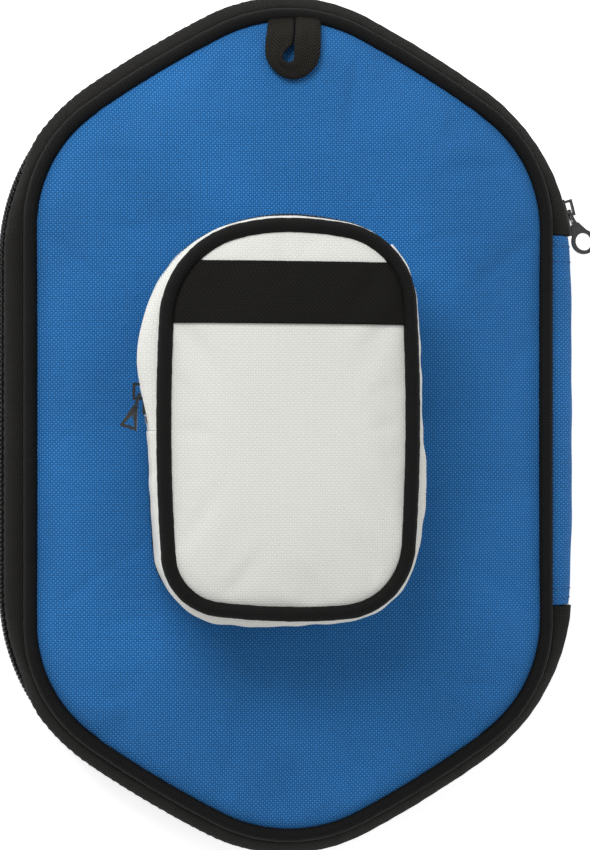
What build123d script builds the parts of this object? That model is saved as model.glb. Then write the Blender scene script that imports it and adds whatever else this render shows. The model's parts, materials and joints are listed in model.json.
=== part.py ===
"""Table-tennis paddle case with a ball pocket, lying on its back panel.

Frame: origin at the centre of the back panel's flat resting face, +X to the right seen from the front,
+Y towards the hanging loop, +Z out of the front panel. Millimetres.
"""

from build123d import *
from math import acos, asin, cos, degrees, radians, sin
import os

os.makedirs("parts", exist_ok=True)

# ---- the case's outline and thickness ----
HALF_W = 101.0
HALF_H = 150.0
MID_Z = 20.0
DEPTH = 2 * MID_Z
FABRIC = 1.0
LINING = 0.8

# An outline's form: the half height its radii belong to, its side and corner radii, and their turns.
CASE_FORM = (HALF_H, 73.5, 396.0, 55.5, 6.9)
PANEL_FORM = (142.6, 50.0, 388.6, 54.8, 7.6)
POCKET_FORM = (67.0, 600.0, 26.0, 4.0, 80.0)

# ---- piping (a cord inside a fabric cover) ----
PIPE_W = 90.1
PIPE_H = 142.6
PIPE_Z = 4.0
PIPE_R = 2.5
PIPE_CORD_R = 1.3

# ---- panels ----
PANEL_W = 87.3
PANEL_H = 139.8
BACK_FOAM_TOP = 4.2
FRONT_CROWN = 4.0
BINDING_T = 1.4
BINDING_H = 4.0

# ---- gusset and zip, measured inwards from the case's outline ----
COIL_IN = 1.5
COIL_STRAND = 2.3
COIL_GAP = 1.2
TAPE_T = 0.5
TAPE_W = 8.4
GUSSET_T = 0.8
BAND_H = 9.0
BAND_LAP = 3.5
FOOT_W = 93.4
FOOT_Z = 5.7

# ---- spine ----
SPINE_LOW = -63.2
SPINE_HIGH = 66.4
SPINE_T = 1.2
SPINE_CLEAR = 0.5
HINGE_X = HALF_W + 0.6

# ---- main slider, on the shoulder arc of the outline ----
SLIDER_Y = 73.4
SLIDER_LEN = 13.0
SLIDER_HALF = 4.0
PLATE_T = 1.1
PLATE_GAP = 0.2
BRIDGE_T = 0.8
FLANGE_T = 0.9
FLANGE_DROP = 1.2
BAIL_LEN = 5.6
BAIL_UP = 3.2
BAIL_RISE = 3.3
BAIL_T = 0.9
BAIL_HALF = 0.8
NOTCH_LOW = 60.4
NOTCH_HIGH = 83.9
NOTCH_Z = 9.6

# ---- pullers ----
PIN_R = 0.6
EYE_LEN = 4.3
EYE_HALF = 2.4
EYE_WINDOW = 3.2
EYE_WINDOW_HALF = 1.3
PULLER_LEN = 16.0
PULLER_W = 9.0
PULLER_T = 1.0
PULLER_HOLE_R = 3.1
PULLER_LEAN = 27.0
PULLER_TWIST = 12.0

# ---- hanging loop ----
LOOP_X = 0.0
LOOP_HALF = 9.3
LOOP_TOP = 140.6
LOOP_LEN = 22.8
LOOP_T = 1.8
LOOP_SLOPE = 19.0
LOOP_Z = 40.4
LOOP_HOLE_R = 3.2
LOOP_HOLE_LEN = 8.5

# ---- pocket ----
POCKET_X = -5.7
POCKET_Y = 1.8
POCKET_HALF_W = 44.0
POCKET_HALF_H = 67.0
POCKET_BULGE = 2.6
POCKET_BASE = DEPTH + FRONT_CROWN + 0.1
POCKET_PIPE_R = 2.5
POCKET_PIPE_CORD_R = 1.3
POCKET_BASE_T = 0.8
POCKET_INNER = 40.2
POCKET_LINING = 0.6
POCKET_FOAM = 1.8
POCKET_SKIN = 0.8
POCKET_ZIP_BELOW = 13.0
BAND_TOP = 53.4
BAND_BOTTOM = 33.0
POCKET_COIL_IN = 1.2
POCKET_STRAND = 1.9
POCKET_STRIP_UP = 3.9
POCKET_STRIP_LAP = 1.0
POCKET_SLIDER_Y = 8.0
POCKET_SLIDER_LEN = 9.0
POCKET_SLIDER_HALF = 3.4
POCKET_PULLER_LEAN = 18.0
POCKET_ZIP_END_X = 40.0
STOP_LEN = 2.2
STOP_PROUD = 0.3


def outline(form, half_w, half_h):
    """A closed face whose quarter is a straight side, a side arc, a corner arc and an end arc, all tangent."""
    ref_h, side_r, corner_r, side_turn, corner_turn = form
    shrink = ref_h - half_h
    r1 = side_r - shrink
    r2 = corner_r - shrink
    a1 = radians(side_turn)
    a2 = radians(side_turn + corner_turn)
    r3 = (half_w - r1 * (1 - cos(a1)) - r2 * (cos(a1) - cos(a2))) / cos(a2)
    straight = half_h - (r1 * sin(a1) + r2 * (sin(a2) - sin(a1)) + r3 * (1 - sin(a2)))
    arcs = []
    centre = Vector(half_w - r1, straight)
    angles = (0.0, side_turn, side_turn + corner_turn, 90.0)
    radii = (r1, r2, r3)
    for index, radius in enumerate(radii):
        start, end = angles[index], angles[index + 1]
        arcs.append(CenterArc(centre, radius, start, end - start))
        if index < 2:
            step = radii[index] - radii[index + 1]
            centre = centre + Vector(step * cos(radians(end)), step * sin(radians(end)))
    right = list(arcs)
    left = [edge.mirror(Plane.YZ) for edge in arcs]
    upper = right + left
    lower = [edge.mirror(Plane.XZ) for edge in upper]
    edges = upper + lower
    if straight > 0.05:
        edges.append(Line((half_w, -straight), (half_w, straight)))
        edges.append(Line((-half_w, -straight), (-half_w, straight)))
    return make_face(Wire.combine(edges)[0])


def case(inset):
    """The case's outer outline, moved in by inset."""
    return outline(CASE_FORM, HALF_W - inset, HALF_H - inset)


def inner_case(half_w, half_h, inset):
    """An outline of the panels' form with its own half sizes, moved in by inset."""
    return outline(PANEL_FORM, half_w - inset, half_h - inset)


def pocket(grow):
    """The pocket's outline at its place, grown by grow from the outer edge of its front piping."""
    face = outline(POCKET_FORM, POCKET_HALF_W + grow, POCKET_HALF_H + grow)
    return Pos(POCKET_X, POCKET_Y, 0) * face


def prism(face, low, high):
    """A face extruded from z = low to z = high."""
    return extrude(Pos(0, 0, low) * face, amount=high - low)


def ruled(rings):
    """A solid through outlines given as (face, z) pairs."""
    return loft([Pos(0, 0, z) * face for face, z in rings], ruled=True)


def block(x0, x1, y0, y1, z0, z1):
    """A box from its corners."""
    size = Box(x1 - x0, y1 - y0, z1 - z0)
    return Pos((x0 + x1) / 2, (y0 + y1) / 2, (z0 + z1) / 2) * size


def flip(part):
    """A part of the rear half turned over into the front half, about the zip's mid-plane."""
    return part.mirror(Plane.XY.offset(MID_Z))


def tube_along(face, z, radius):
    """A round rod along the edge of a face lying at height z."""
    path = (Pos(0, 0, z) * face).face().outer_wire()
    start = path @ 0
    section = Plane(origin=start, z_dir=path % 0) * Circle(radius)
    return sweep(section, path=path)


def save(part, name):
    """Writes one node, as its solids."""
    solids = part.solids()
    shape = solids[0] if len(solids) == 1 else Compound(solids)
    shape.label = name
    export_step(shape, "parts/" + name + ".step")
    print(name, len(solids), round(sum(s.volume for s in solids)))


# ---------------------------------------------------------------- walls
def wall(rings, thickness):
    """A closed band through (form, half_w, half_h, z) rings, with its thickness inside."""
    outer = ruled([(outline(form, w, h), z) for form, w, h, z in rings])
    inner = ruled([(outline(form, w - thickness, h - thickness), z) for form, w, h, z in rings])
    return outer - inner


def beyond_spine(part):
    """Removes the stretch of a band where the spine strip takes its place."""
    low = SPINE_LOW - SPINE_CLEAR
    high = SPINE_HIGH + SPINE_CLEAR
    return part - block(70, HALF_W + 10, low, high, -5, DEPTH + 5)


def notch(part):
    """Room in the front half's band for the slider and puller parked on the rear half's band."""
    return part - block(70, HALF_W + 10, NOTCH_LOW, NOTCH_HIGH, MID_Z - 2, MID_Z + NOTCH_Z)


foot_h = HALF_H - (HALF_W - FOOT_W) * 0.55
band_in = COIL_IN - GUSSET_T
gusset = wall([
    (PANEL_FORM, FOOT_W, foot_h, FOOT_Z),
    (CASE_FORM, HALF_W - band_in, HALF_H - band_in, MID_Z - BAND_H),
    (CASE_FORM, HALF_W - band_in, HALF_H - band_in, MID_Z - BAND_H + BAND_LAP),
], GUSSET_T)
tape_edge = MID_Z - COIL_GAP / 2
tape = prism(case(COIL_IN), tape_edge - TAPE_W, tape_edge) - prism(case(COIL_IN + TAPE_T), 0, DEPTH)
coil = prism(case(0), tape_edge - COIL_STRAND, tape_edge) - prism(case(COIL_IN), 0, DEPTH)
spine_wall = wall([
    (PANEL_FORM, FOOT_W, foot_h, FOOT_Z),
    (CASE_FORM, HALF_W - 0.2, HALF_H - 0.2, MID_Z - BAND_H),
    (CASE_FORM, HALF_W - 0.2, HALF_H - 0.2, tape_edge),
], SPINE_T)
spine = spine_wall & block(70, HALF_W + 10, SPINE_LOW, SPINE_HIGH, -5, DEPTH)

pipe_path = inner_case(PIPE_W, PIPE_H, 0)
pipe_cord = tube_along(pipe_path, PIPE_Z, PIPE_CORD_R)
pipe_cover = tube_along(pipe_path, PIPE_Z, PIPE_R) - pipe_cord

back_outer = ruled([
    (inner_case(PANEL_W, PANEL_H, 9), 0.0),
    (inner_case(PANEL_W, PANEL_H, 3), 0.8),
    (inner_case(PANEL_W, PANEL_H, 0), 2.6),
    (inner_case(PANEL_W, PANEL_H, 0), BACK_FOAM_TOP),
])
back_foam = ruled([
    (inner_case(PANEL_W, PANEL_H, 10), FABRIC),
    (inner_case(PANEL_W, PANEL_H, 4), FABRIC + 0.8),
    (inner_case(PANEL_W, PANEL_H, FABRIC), FABRIC + 2.4),
    (inner_case(PANEL_W, PANEL_H, FABRIC), BACK_FOAM_TOP),
])
back_fabric = back_outer - back_foam
lining = prism(inner_case(PANEL_W, PANEL_H, 0), BACK_FOAM_TOP, BACK_FOAM_TOP + LINING)
panel_top = BACK_FOAM_TOP + LINING
binding_outer = inner_case(PANEL_W, PANEL_H, 0.3)
binding_inner = inner_case(PANEL_W, PANEL_H, 0.3 + BINDING_T)
binding = prism(binding_outer, panel_top, panel_top + BINDING_H) - prism(binding_inner, 0, DEPTH)

front_low = DEPTH - BACK_FOAM_TOP
front_outer = ruled([
    (inner_case(PANEL_W, PANEL_H, 0), front_low),
    (inner_case(PANEL_W, PANEL_H, 0), DEPTH - 2.2),
    (inner_case(PANEL_W, PANEL_H, 4), DEPTH + 1.2),
    (inner_case(PANEL_W, PANEL_H, 12), DEPTH + FRONT_CROWN - 0.6),
    (inner_case(PANEL_W, PANEL_H, 22), DEPTH + FRONT_CROWN),
])
front_foam = ruled([
    (inner_case(PANEL_W, PANEL_H, FABRIC), front_low),
    (inner_case(PANEL_W, PANEL_H, FABRIC), DEPTH - 2.8),
    (inner_case(PANEL_W, PANEL_H, 5), DEPTH + 0.2),
    (inner_case(PANEL_W, PANEL_H, 13), DEPTH + FRONT_CROWN - 1.7),
    (inner_case(PANEL_W, PANEL_H, 23), DEPTH + FRONT_CROWN - FABRIC),
])
front_fabric = front_outer - front_foam

stop_top = SPINE_LOW - SPINE_CLEAR
stop_room = block(70, HALF_W + 10, stop_top - STOP_LEN, stop_top, -5, DEPTH + 5)
stop_ring = prism(case(-STOP_PROUD), tape_edge - COIL_STRAND, tape_edge) - prism(case(COIL_IN), 0, DEPTH)
rear_stop = stop_ring & stop_room

save(back_fabric, "back_panel_fabric")
save(back_foam, "back_foam_pad")
save(lining, "back_lining")
save(binding, "rear_seam_binding")
save(pipe_cover, "rear_piping_cover")
save(pipe_cord, "rear_piping_cord")
save(beyond_spine(gusset), "rear_gusset")
save(beyond_spine(tape), "rear_zip_tape")
save(beyond_spine(coil) - stop_room, "rear_zip_coil")
save(spine, "spine_rear_strip")
save(front_fabric, "front_panel_fabric")
save(front_foam, "front_foam_pad")
save(flip(lining), "front_lining")
save(flip(binding), "front_seam_binding")
save(flip(pipe_cover), "front_piping_cover")
save(flip(pipe_cord), "front_piping_cord")
save(notch(beyond_spine(flip(gusset))), "front_gusset")
save(notch(beyond_spine(flip(tape))), "front_zip_tape")
save(notch(beyond_spine(flip(coil))) - stop_room, "front_zip_coil")
save(notch(flip(spine)), "spine_front_strip")
save(rear_stop, "rear_zip_stop")
save(flip(rear_stop), "front_zip_stop")

# ---------------------------------------------------------------- sliders and pullers
def side_arc(form, half_w, half_h):
    """The centre and radius of an outline's side arc on its right."""
    ref_h, side_r, corner_r, side_turn, corner_turn = form
    shrink = ref_h - half_h
    r1 = side_r - shrink
    r2 = corner_r - shrink
    a1 = radians(side_turn)
    a2 = radians(side_turn + corner_turn)
    r3 = (half_w - r1 * (1 - cos(a1)) - r2 * (cos(a1) - cos(a2))) / cos(a2)
    centre_y = half_h - (r1 * sin(a1) + r2 * (sin(a2) - sin(a1)) + r3 * (1 - sin(a2)))
    return half_w - r1, centre_y, r1


def sector(centre, radii, angles, heights):
    """A piece of a ring about a centre, between two radii, two angles in degrees and two heights."""
    tall = heights[1] - heights[0]
    middle = radians((angles[0] + angles[1]) / 2)
    half = radians((angles[1] - angles[0]) / 2)
    points = []
    for radius, side in ((radii[0], -1), (radii[0], 0), (radii[0], 1), (radii[1], 1), (radii[1], 0), (radii[1], -1)):
        angle = middle + side * half
        points.append((centre[0] + radius * cos(angle), centre[1] + radius * sin(angle)))
    edges = [ThreePointArc(points[0], points[1], points[2]), Line(points[2], points[3])]
    edges += [ThreePointArc(points[3], points[4], points[5]), Line(points[5], points[0])]
    face = make_face(Wire.combine(edges)[0])
    return extrude(Pos(0, 0, heights[0]) * face, amount=tall)


def zip_slider(arc, rest_y, z, coil_in, length, half):
    """A slider on an arc: its body, its bail, and the puller's pin as (x, y)."""
    centre = (arc[0], arc[1])
    radius = arc[2]
    rest = degrees(asin((rest_y - arc[1]) / radius))
    reach = degrees(length / 2 / radius)
    ends = (rest - reach, rest + reach)
    tape_in = radius - coil_in - TAPE_T - PLATE_GAP
    top_in = radius + PLATE_GAP
    top_out = top_in + PLATE_T
    body = sector(centre, (top_in, top_out), ends, (z - half, z + half))
    body += sector(centre, (tape_in - PLATE_T, tape_in), ends, (z - half, z + half))
    bridge = degrees(2.6 / radius)
    body += sector(centre, (tape_in - 0.1, top_in + 0.1), (ends[1] - bridge, ends[1]),
                   (z - BRIDGE_T / 2, z + BRIDGE_T / 2))
    for low in (z - half, z + half - FLANGE_T):
        body += sector(centre, (radius - FLANGE_DROP, top_in + 0.1), ends, (low, low + FLANGE_T))
    wall_a = degrees(BAIL_T / radius)
    bail_a = (rest + degrees((BAIL_UP - BAIL_LEN / 2) / radius), rest + degrees((BAIL_UP + BAIL_LEN / 2) / radius))
    bail = sector(centre, (top_out, top_out + BAIL_RISE), bail_a, (z - BAIL_HALF, z + BAIL_HALF))
    bail -= sector(centre, (top_out - 1, top_out + BAIL_RISE - BAIL_T), (bail_a[0] + wall_a, bail_a[1] - wall_a),
                   (z - 2 * BAIL_HALF, z + 2 * BAIL_HALF))
    pin_a = radians(bail_a[0] + degrees((BAIL_T + 0.25 + PIN_R) / radius))
    pin_r = top_out + PIN_R + 0.45
    return body, bail, (centre[0] + pin_r * cos(pin_a), centre[1] + pin_r * sin(pin_a))


def puller(tab, twist):
    """A pull tab hung on a cross pin along Z at its origin, with its length along -Y."""
    pin = Cylinder(PIN_R, 2 * EYE_HALF)
    eye = block(-0.5, 0.5, -EYE_LEN, 0, -EYE_HALF, EYE_HALF)
    eye -= block(-1, 1, -EYE_WINDOW, 0, -EYE_WINDOW_HALF, EYE_WINDOW_HALF)
    neck = block(-0.9, 0.9, -EYE_LEN - 1.4, -EYE_LEN + 0.2, -1.0, 1.0)
    return pin + eye + neck + Pos(0, -EYE_LEN - 0.6, 0) * Rot(0, twist, 0) * tab


def drop_tab(length, width, hole_r):
    """A flat tab that widens downwards to a round end with a round hole."""
    low = -length + width / 2
    face = Polygon((-1.4, 0), (-width / 2, low), (width / 2, low), (1.4, 0), align=None)
    face += Pos(0, low) * Circle(width / 2)
    face -= Pos(0, low) * Circle(hole_r)
    return Pos(0, 0, -PULLER_T / 2) * extrude(face, amount=PULLER_T)


def triangle_loop(length, width, wire):
    """A flat triangular loop with an open middle."""
    outer = Polygon((-1.0, 0), (-width / 2, -length), (width / 2, -length), (1.0, 0), align=None)
    inner = Polygon((0, -2.2), (-width / 2 + wire, -length + wire), (width / 2 - wire, -length + wire), align=None)
    return Pos(0, 0, -PULLER_T / 2) * extrude(outer - inner, amount=PULLER_T)


main_arc = side_arc(CASE_FORM, HALF_W, HALF_H)
slider, bail, pin = zip_slider(main_arc, SLIDER_Y, MID_Z, COIL_IN, SLIDER_LEN, SLIDER_HALF)
print("main zip arc centre and radius", [round(v, 3) for v in main_arc])
print("main puller pin", [round(v, 3) for v in pin])
save(slider, "main_slider_body")
save(bail, "main_slider_bail")
main_tab = drop_tab(PULLER_LEN - EYE_LEN, PULLER_W, PULLER_HOLE_R)
save(Pos(pin[0], pin[1], MID_Z) * Rot(0, 0, PULLER_LEAN) * puller(main_tab, PULLER_TWIST), "main_puller")

# ---------------------------------------------------------------- hanging loop
straight_len = LOOP_LEN - LOOP_HALF
loop_face = Pos(0, -straight_len / 2) * Rectangle(2 * LOOP_HALF, straight_len)
loop_face += Pos(0, -straight_len) * Circle(LOOP_HALF)
hole_y = -straight_len + 0.5
tip_y = hole_y + LOOP_HOLE_LEN - LOOP_HOLE_R
hole = Pos(0, hole_y) * Circle(LOOP_HOLE_R)
hole += Polygon((-LOOP_HOLE_R, hole_y), (LOOP_HOLE_R, hole_y), (0, tip_y), align=None)
loop_plate = extrude(loop_face - hole, amount=LOOP_T)
save(Pos(LOOP_X, LOOP_TOP, LOOP_Z) * Rot(-LOOP_SLOPE, 0, 0) * loop_plate, "hanging_loop")

# ---------------------------------------------------------------- pocket
base_top = POCKET_BASE + POCKET_BASE_T
inner_top = base_top + POCKET_INNER
lining_top = inner_top + POCKET_LINING
foam_top = lining_top + POCKET_FOAM
skin_top = foam_top + POCKET_SKIN
pipe_z = foam_top - 1.6
zip_z = pipe_z - POCKET_ZIP_BELOW
face_in = -2 * POCKET_PIPE_R - 0.2
hinge_y = POCKET_Y - POCKET_HALF_H + POCKET_PIPE_R
print("pocket hinge y z", round(hinge_y, 3), round(pipe_z, 3), "zip z", round(zip_z, 3), "top", round(skin_top, 3))

pocket_path = pocket(-POCKET_PIPE_R)
pocket_cord = tube_along(pocket_path, pipe_z, POCKET_PIPE_CORD_R)
pocket_cover = tube_along(pocket_path, pipe_z, POCKET_PIPE_R) - pocket_cord
pocket_base = prism(pocket(-0.6), POCKET_BASE, base_top)
base_binding = prism(pocket(1.5), POCKET_BASE, base_top + 2.0) - prism(pocket(0.6), 0, 120)
face_lining = prism(pocket(face_in), inner_top, lining_top)
face_foam = prism(pocket(face_in - POCKET_SKIN), lining_top, foam_top)
face_skin = prism(pocket(face_in), lining_top, skin_top) - face_foam
band_cut = block(POCKET_X - 60, POCKET_X + 60, BAND_BOTTOM, BAND_TOP, foam_top, skin_top + 2)
label_band = prism(pocket(face_in), skin_top, skin_top + 0.5) & band_cut


def pocket_wall(rings, thickness):
    """A band of the pocket's side through (grow, z) rings, with its thickness inside."""
    outer = ruled([(pocket(grow), z) for grow, z in rings])
    inner = ruled([(pocket(grow - thickness), z) for grow, z in rings])
    return outer - inner


side_t = 0.8
coil_in = POCKET_BULGE - POCKET_COIL_IN
strip_out = coil_in + side_t
lap = POCKET_STRIP_UP + POCKET_STRIP_LAP
foot = (0.0, base_top + 0.2)
head = (1.3, pipe_z - 0.8)
upper_side = pocket_wall([(strip_out, zip_z + POCKET_STRIP_UP), (strip_out, zip_z + lap), head], side_t)
lower_side = pocket_wall([foot, (strip_out, zip_z - lap), (strip_out, zip_z - POCKET_STRIP_UP)], side_t)
plain_side = pocket_wall([foot, (strip_out, zip_z - lap), (strip_out, zip_z + lap), head], side_t)

zip_low_y = POCKET_SLIDER_Y - POCKET_SLIDER_LEN / 2 - STOP_LEN - 0.6
zip_end_y = POCKET_Y + POCKET_HALF_H - 14.0
zipped = block(-80, POCKET_X, zip_low_y, 90, 0, 120)
zipped += block(POCKET_X, POCKET_ZIP_END_X, zip_end_y, 90, 0, 120)
unzipped = block(-80, POCKET_X, -90, zip_low_y - 0.4, 0, 120)
unzipped += block(POCKET_X, 80, -90, zip_end_y - 0.4, 0, 120)
unzipped += block(POCKET_ZIP_END_X + 0.4, 80, zip_end_y - 1, 90, 0, 120)
parked = block(-80, POCKET_X, POCKET_SLIDER_Y - POCKET_SLIDER_LEN / 2 - 4, POCKET_SLIDER_Y
               + POCKET_SLIDER_LEN / 2 + 1.6, zip_z, zip_z + POCKET_STRIP_UP - 0.2)


def chain_half(side):
    """One side's coil strand and tape as solids; side is +1 above the zip's line and -1 below it."""
    near = zip_z + side * COIL_GAP / 2
    far = near + side * POCKET_STRAND
    edge = zip_z + side * lap
    strand = prism(pocket(POCKET_BULGE), min(near, far), max(near, far)) - prism(pocket(coil_in), 0, 120)
    band = prism(pocket(coil_in), min(near, edge), max(near, edge)) - prism(pocket(coil_in - TAPE_T), 0, 120)
    return strand & zipped, band & zipped


front_strand, front_band = chain_half(1)
rear_strand, rear_band = chain_half(-1)
pocket_stop_room = block(-80, POCKET_X, zip_low_y, zip_low_y + STOP_LEN, 0, 120)
stop_high = zip_z - COIL_GAP / 2
pocket_stop = prism(pocket(POCKET_BULGE + STOP_PROUD), stop_high - POCKET_STRAND, stop_high)
pocket_stop = (pocket_stop - prism(pocket(coil_in), 0, 120)) & pocket_stop_room

save(pocket_base, "pocket_base_fabric")
save(base_binding, "pocket_base_binding")
save(lower_side & zipped, "pocket_rear_side_strip")
save(plain_side & unzipped, "pocket_closed_side")
save(rear_band, "pocket_rear_zip_tape")
save(rear_strand - pocket_stop_room, "pocket_rear_zip_coil")
save(pocket_stop, "pocket_zip_stop")
save(face_skin, "pocket_front_fabric")
save(face_foam, "pocket_front_foam")
save(face_lining, "pocket_front_lining")
save(label_band, "pocket_label_band")
save(pocket_cover, "pocket_piping_cover")
save(pocket_cord, "pocket_piping_cord")
save(upper_side & zipped, "pocket_front_side_strip")
save(front_band - parked, "pocket_front_zip_tape")
save(front_strand - parked, "pocket_front_zip_coil")

pocket_arc = side_arc(POCKET_FORM, POCKET_HALF_W + POCKET_BULGE, POCKET_HALF_H + POCKET_BULGE)
small_y = POCKET_SLIDER_Y - POCKET_Y
slider, bail, pin = zip_slider(pocket_arc, small_y, zip_z, POCKET_COIL_IN, POCKET_SLIDER_LEN, POCKET_SLIDER_HALF)
loop_tab = triangle_loop(7.0, 6.0, 1.1)
small_puller = Pos(pin[0], pin[1], zip_z) * Rot(0, 0, POCKET_PULLER_LEAN) * puller(loop_tab, PULLER_TWIST)
to_left = Pos(POCKET_X, POCKET_Y, 0)
print("pocket zip arc centre and radius", round(POCKET_X - pocket_arc[0], 3), round(POCKET_Y + pocket_arc[1], 3),
      round(pocket_arc[2], 3))
print("pocket puller pin", round(POCKET_X - pin[0], 3), round(POCKET_Y + pin[1], 3))
save(to_left * slider.mirror(Plane.YZ), "pocket_slider_body")
save(to_left * bail.mirror(Plane.YZ), "pocket_slider_bail")
save(to_left * small_puller.mirror(Plane.YZ), "pocket_puller")
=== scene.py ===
"""The looks of a table-tennis paddle case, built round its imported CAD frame."""

import json
import logging
from dataclasses import dataclass, replace
from enum import Enum
from typing import Callable, ClassVar, Sequence

import bmesh
import bpy
import numpy as np
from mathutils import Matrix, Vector

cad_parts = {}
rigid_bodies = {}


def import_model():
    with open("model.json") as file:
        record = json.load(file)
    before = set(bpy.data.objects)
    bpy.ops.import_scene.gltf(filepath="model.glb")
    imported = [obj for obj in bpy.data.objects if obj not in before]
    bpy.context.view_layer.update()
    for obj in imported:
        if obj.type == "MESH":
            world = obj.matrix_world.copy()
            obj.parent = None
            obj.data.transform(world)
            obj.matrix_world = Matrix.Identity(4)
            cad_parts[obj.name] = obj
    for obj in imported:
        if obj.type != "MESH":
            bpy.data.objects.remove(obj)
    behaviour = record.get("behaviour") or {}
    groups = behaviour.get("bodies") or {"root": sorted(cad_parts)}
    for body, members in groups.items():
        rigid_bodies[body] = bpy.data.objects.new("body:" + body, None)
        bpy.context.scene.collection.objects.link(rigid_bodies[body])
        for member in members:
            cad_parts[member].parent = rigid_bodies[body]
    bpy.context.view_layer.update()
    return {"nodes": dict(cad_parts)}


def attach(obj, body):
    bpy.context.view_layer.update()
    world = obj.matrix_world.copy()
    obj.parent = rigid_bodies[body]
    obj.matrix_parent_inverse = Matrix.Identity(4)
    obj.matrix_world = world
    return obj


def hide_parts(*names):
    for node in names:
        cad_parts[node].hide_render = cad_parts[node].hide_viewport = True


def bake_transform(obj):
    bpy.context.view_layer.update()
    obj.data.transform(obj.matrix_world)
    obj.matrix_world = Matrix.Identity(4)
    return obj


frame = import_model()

log = logging.getLogger("paddle_case")
MM = 0.001
TAU = 2 * np.pi
Array = np.ndarray


# ------------------------------------------------------------------ outlines
@dataclass(frozen=True)
class Form:
    """What outlines of one family share: the half height their radii belong to, radii in mm, turns in degrees."""

    half_height: float
    side_radius: float
    corner_radius: float
    side_turn: float
    corner_turn: float


CASE_FORM = (Form(150.0, 73.5, 396.0, 55.5, 6.9),) * 4
PANEL_FORM = (Form(142.6, 50.0, 388.6, 54.8, 7.6),) * 4
POCKET_FORM = (Form(67.0, 600.0, 28.0, 3.6, 76.0), Form(67.0, 600.0, 34.0, 3.2, 72.0),
               Form(67.0, 600.0, 21.0, 4.2, 80.0), Form(67.0, 600.0, 26.0, 4.0, 80.0))


@dataclass(frozen=True)
class Outline:
    """A closed outline of four quarters, each a straight side, a side arc, a corner arc and an end arc.

    The forms are those of the upper right quarter and the ones that follow it anticlockwise. The slouch is how many
    mm the lower end drops for each mm to the right.
    """

    forms: tuple[Form, ...]
    half_w: float
    half_h: float
    x: float = 0.0
    y: float = 0.0
    slouch: float = 0.0

    def quarter(self, f: Form) -> tuple[Array, Array]:
        """One quarter's knots.

        Args:
            f: the quarter's form.

        Returns:
            Arc lengths in mm and the outward normal's angles in radians, at the ends of its four stretches.
        """
        shrink = f.half_height - self.half_h
        r1, r2 = f.side_radius - shrink, f.corner_radius - shrink
        a1, a2 = np.radians(f.side_turn), np.radians(f.side_turn + f.corner_turn)
        r3 = (self.half_w - r1 * (1 - np.cos(a1)) - r2 * (np.cos(a1) - np.cos(a2))) / np.cos(a2)
        straight = self.half_h - (r1 * np.sin(a1) + r2 * (np.sin(a2) - np.sin(a1)) + r3 * (1 - np.sin(a2)))
        steps = np.array([0.0, max(straight, 0.0), r1 * a1, r2 * (a2 - a1), r3 * (np.pi / 2 - a2)])
        return np.cumsum(steps), np.array([0.0, 0.0, a1, a2, np.pi / 2])

    def knots(self) -> tuple[Array, Array]:
        """Knots of the whole loop, as quarter() gives them, each second quarter run backwards."""
        lengths, angles = [np.zeros(1)], [np.zeros(1)]
        for index, form in enumerate(self.forms):
            s, a = self.quarter(form)
            backwards = index % 2
            here = (s[-1] - s[::-1] if backwards else s)[1:]
            turned = (np.pi - a[::-1] if backwards else a)[1:] + (index // 2) * np.pi
            lengths.append(lengths[-1][-1] + here)
            angles.append(turned)
        return np.concatenate(lengths), np.concatenate(angles)

    @property
    def length(self) -> float:
        """Length of the loop in mm."""
        return float(self.knots()[0][-1])

    def at(self, s: Array) -> tuple[Array, Array]:
        """Points and outward normals at arc lengths s, from the right-hand middle, anticlockwise.

        The normal's angle is linear in arc length between knots, and the point is the integral of the tangent.

        Args:
            s: arc lengths in mm; they wrap round the loop.

        Returns:
            Points (n, 2) in mm and unit normals (n, 2).
        """
        lengths, angles = self.knots()
        fine = np.linspace(0.0, lengths[-1], 6001)
        theta = np.interp(fine, lengths, angles)
        tangent = np.stack([-np.sin(theta), np.cos(theta)], -1)
        step = fine[1] - fine[0]
        path = np.concatenate([[[0.0, 0.0]], np.cumsum((tangent[1:] + tangent[:-1]) * step / 2, axis=0)])
        path += np.array([self.half_w, 0.0])
        wrapped = np.mod(s, lengths[-1])
        angle = np.interp(wrapped, lengths, angles)
        points = np.stack([np.interp(wrapped, fine, path[:, k]) for k in range(2)], -1)
        points[:, 1] -= self.slouch * points[:, 0] * np.clip(-points[:, 1] / self.half_h, 0.0, 1.0) ** 2
        return points + np.array([self.x, self.y]), np.stack([np.cos(angle), np.sin(angle)], -1)

    def nearest(self, points: Array) -> Array:
        """This outline's points that lie nearest to the given ones."""
        fine, _ = self.at(np.linspace(0, self.length, 7001))
        best = [np.argmin(((fine - point) ** 2).sum(1)) for point in points]
        return fine[best]

    def grown(self, grow: float) -> "Outline":
        """The parallel outline that lies grow mm outside this one."""
        return replace(self, half_w=self.half_w + grow, half_h=self.half_h + grow)


CASE = Outline(CASE_FORM, 101.0, 150.0)
PIPE = Outline(PANEL_FORM, 90.1, 142.6)
POCKET = Outline(POCKET_FORM, 44.0, 67.0, -5.7, 1.8, 0.022)
MID_Z = 20.0
SPINE_LOW, SPINE_HIGH = -63.2, 66.4
PIPING_RADIUS, POCKET_PIPING_RADIUS = 2.42, 2.5


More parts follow.
